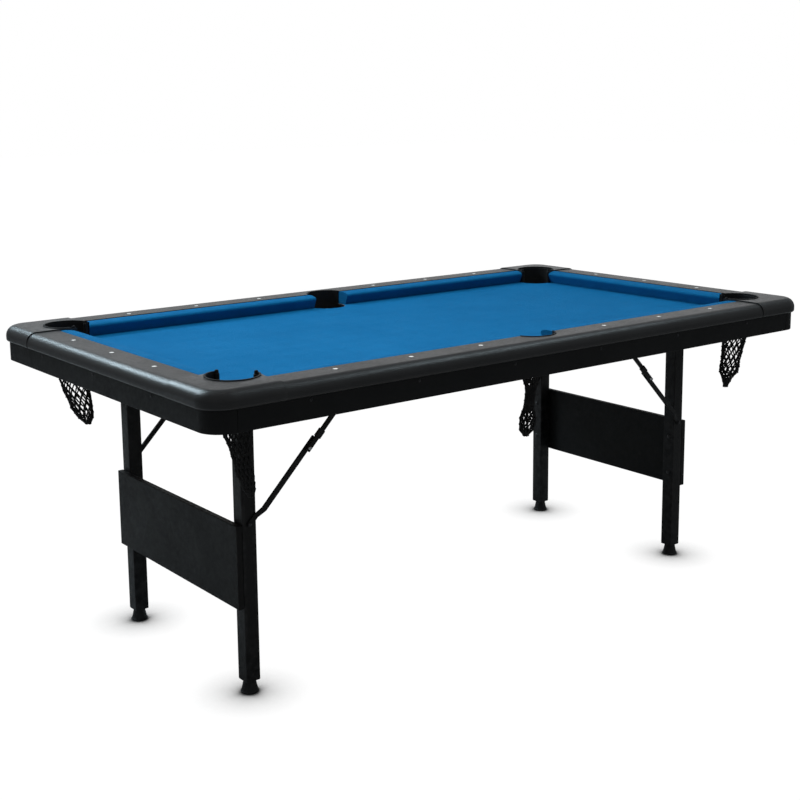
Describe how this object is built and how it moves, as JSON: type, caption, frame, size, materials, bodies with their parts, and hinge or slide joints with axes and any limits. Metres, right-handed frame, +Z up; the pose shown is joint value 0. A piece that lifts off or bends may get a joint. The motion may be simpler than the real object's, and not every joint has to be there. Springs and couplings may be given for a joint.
{
  "type": "folding mini pool table",
  "caption": "Mini pool table with a blue cloth bed, cushioned rails, net pockets and two folding leg pairs with locking braces and levelling feet.",
  "frame": {"origin": "on the floor under the middle of the table", "axes": "+X along the table's length, +Y across it, +Z up"},
  "size_m": [1.949, 1.099, 0.79],
  "materials": {
    "bed_board": "raw board, matte",
    "bed_cloth": "blue napped cloth, matte",
    "cushion_cloth": "blue napped cloth over rubber, matte",
    "rail_laminate": "black laminate with a fine matte texture, satin on the rounded edge",
    "corner_plastic": "black moulded plastic, fine texture, satin edge",
    "apron_laminate": "black laminate, satin",
    "painted_steel": "black powder coat, satin",
    "panel_board": "black laminate, satin",
    "net_string": "black braided string",
    "foot_plastic": "black moulded plastic",
    "sight": "pearly inlay",
    "screw_steel": "black screws and rivets, satin"
  },
  "bodies": {
    "table": {"bed_board": "bed_board", "bed_cloth": "bed_cloth", "cushion_front_left": "cushion_cloth", "cushion_front_right": "cushion_cloth", "cushion_back_left": "cushion_cloth", "cushion_back_right": "cushion_cloth", "cushion_left": "cushion_cloth", "cushion_right": "cushion_cloth", "rail_front": "rail_laminate", "rail_back": "rail_laminate", "rail_left": "rail_laminate", "rail_right": "rail_laminate", "corner_front_left": "corner_plastic", "corner_front_right": "corner_plastic", "corner_back_left": "corner_plastic", "corner_back_right": "corner_plastic", "side_pocket_liner_front": "corner_plastic", "side_pocket_liner_back": "corner_plastic", "apron_front": "apron_laminate", "apron_back": "apron_laminate", "apron_left": "apron_laminate", "apron_right": "apron_laminate", "net_front_left": "net_string", "net_front_middle": "net_string", "net_front_right": "net_string", "net_back_left": "net_string", "net_back_middle": "net_string", "net_back_right": "net_string", "leg_bracket_front_left": "painted_steel", "brace_bracket_front_left": "painted_steel", "leg_bracket_front_right": "painted_steel", "brace_bracket_front_right": "painted_steel", "leg_bracket_back_left": "painted_steel", "brace_bracket_back_left": "painted_steel", "leg_bracket_back_right": "painted_steel", "brace_bracket_back_right": "painted_steel"},
    "leg_frame_left": {"leg_front_left": "painted_steel", "leg_back_left": "painted_steel", "cross_tube_left": "painted_steel", "panel_left": "panel_board"},
    "lower_link_front_left": {"lower_link_front_left": "painted_steel"},
    "upper_link_front_left": {"upper_link_front_left": "painted_steel"},
    "lock_ring_front_left": {"lock_ring_front_left": "painted_steel"},
    "foot_front_left": {"foot_front_left": "foot_plastic"},
    "lower_link_back_left": {"lower_link_back_left": "painted_steel"},
    "upper_link_back_left": {"upper_link_back_left": "painted_steel"},
    "lock_ring_back_left": {"lock_ring_back_left": "painted_steel"},
    "foot_back_left": {"foot_back_left": "foot_plastic"},
    "leg_frame_right": {"leg_front_right": "painted_steel", "leg_back_right": "painted_steel", "cross_tube_right": "painted_steel", "panel_right": "panel_board"},
    "lower_link_front_right": {"lower_link_front_right": "painted_steel"},
    "upper_link_front_right": {"upper_link_front_right": "painted_steel"},
    "lock_ring_front_right": {"lock_ring_front_right": "painted_steel"},
    "foot_front_right": {"foot_front_right": "foot_plastic"},
    "lower_link_back_right": {"lower_link_back_right": "painted_steel"},
    "upper_link_back_right": {"upper_link_back_right": "painted_steel"},
    "lock_ring_back_right": {"lock_ring_back_right": "painted_steel"},
    "foot_back_right": {"foot_back_right": "foot_plastic"}
  },
  "joints": [
    {"name": "leg_fold_left", "type": "hinge", "parent": "table", "child": "leg_frame_left", "pos_m": [-0.74, 0, 0.711], "axis": [0, -1, 0], "range_deg": [0, 90]},
    {"name": "lower_link_pivot_front_left", "type": "hinge", "parent": "leg_frame_left", "child": "lower_link_front_left", "pos_m": [-0.74, -0.3, 0.411], "axis": [0, -1, 0], "range_deg": [-136, 0]},
    {"name": "upper_link_pivot_front_left", "type": "hinge", "parent": "table", "child": "upper_link_front_left", "pos_m": [-0.436, -0.3205, 0.722], "axis": [0, -1, 0], "range_deg": [0, 131.5]},
    {"name": "lock_ring_slide_front_left", "type": "slide", "parent": "upper_link_front_left", "child": "lock_ring_front_left", "axis": [0.699, 0, 0.7151], "range_m": [0, 0.08]},
    {"name": "foot_screw_front_left", "type": "slide", "parent": "leg_frame_left", "child": "foot_front_left", "axis": [0, 0, -1], "range_m": [0, 0.012]},
    {"name": "lower_link_pivot_back_left", "type": "hinge", "parent": "leg_frame_left", "child": "lower_link_back_left", "pos_m": [-0.74, 0.3, 0.411], "axis": [0, -1, 0], "range_deg": [-136, 0]},
    {"name": "upper_link_pivot_back_left", "type": "hinge", "parent": "table", "child": "upper_link_back_left", "pos_m": [-0.436, 0.3205, 0.722], "axis": [0, -1, 0], "range_deg": [0, 131.5]},
    {"name": "lock_ring_slide_back_left", "type": "slide", "parent": "upper_link_back_left", "child": "lock_ring_back_left", "axis": [0.699, 0, 0.7151], "range_m": [0, 0.08]},
    {"name": "foot_screw_back_left", "type": "slide", "parent": "leg_frame_left", "child": "foot_back_left", "axis": [0, 0, -1], "range_m": [0, 0.012]},
    {"name": "leg_fold_right", "type": "hinge", "parent": "table", "child": "leg_frame_right", "pos_m": [0.74, 0, 0.711], "axis": [0, 1, 0], "range_deg": [0, 90]},
    {"name": "lower_link_pivot_front_right", "type": "hinge", "parent": "leg_frame_right", "child": "lower_link_front_right", "pos_m": [0.74, -0.3, 0.411], "axis": [0, 1, 0], "range_deg": [-136, 0]},
    {"name": "upper_link_pivot_front_right", "type": "hinge", "parent": "table", "child": "upper_link_front_right", "pos_m": [0.436, -0.3205, 0.722], "axis": [0, 1, 0], "range_deg": [0, 131.5]},
    {"name": "lock_ring_slide_front_right", "type": "slide", "parent": "upper_link_front_right", "child": "lock_ring_front_right", "axis": [-0.699, 0, 0.7151], "range_m": [0, 0.08]},
    {"name": "foot_screw_front_right", "type": "slide", "parent": "leg_frame_right", "child": "foot_front_right", "axis": [0, 0, -1], "range_m": [0, 0.012]},
    {"name": "lower_link_pivot_back_right", "type": "hinge", "parent": "leg_frame_right", "child": "lower_link_back_right", "pos_m": [0.74, 0.3, 0.411], "axis": [0, 1, 0], "range_deg": [-136, 0]},
    {"name": "upper_link_pivot_back_right", "type": "hinge", "parent": "table", "child": "upper_link_back_right", "pos_m": [0.436, 0.3205, 0.722], "axis": [0, 1, 0], "range_deg": [0, 131.5]},
    {"name": "lock_ring_slide_back_right", "type": "slide", "parent": "upper_link_back_right", "child": "lock_ring_back_right", "axis": [-0.699, 0, 0.7151], "range_m": [0, 0.08]},
    {"name": "foot_screw_back_right", "type": "slide", "parent": "leg_frame_right", "child": "foot_back_right", "axis": [0, 0, -1], "range_m": [0, 0.012]}
  ],
  "couplings": [
    {"joint": "lower_link_pivot_front_left", "follows": "leg_fold_left", "ratio": -1.5072},
    {"joint": "upper_link_pivot_front_left", "follows": "leg_fold_left", "ratio": 1.4603},
    {"joint": "lower_link_pivot_back_left", "follows": "leg_fold_left", "ratio": -1.5072},
    {"joint": "upper_link_pivot_back_left", "follows": "leg_fold_left", "ratio": 1.4603},
    {"joint": "lower_link_pivot_front_right", "follows": "leg_fold_right", "ratio": -1.5072},
    {"joint": "upper_link_pivot_front_right", "follows": "leg_fold_right", "ratio": 1.4603},
    {"joint": "lower_link_pivot_back_right", "follows": "leg_fold_right", "ratio": -1.5072},
    {"joint": "upper_link_pivot_back_right", "follows": "leg_fold_right", "ratio": 1.4603}
  ]
}
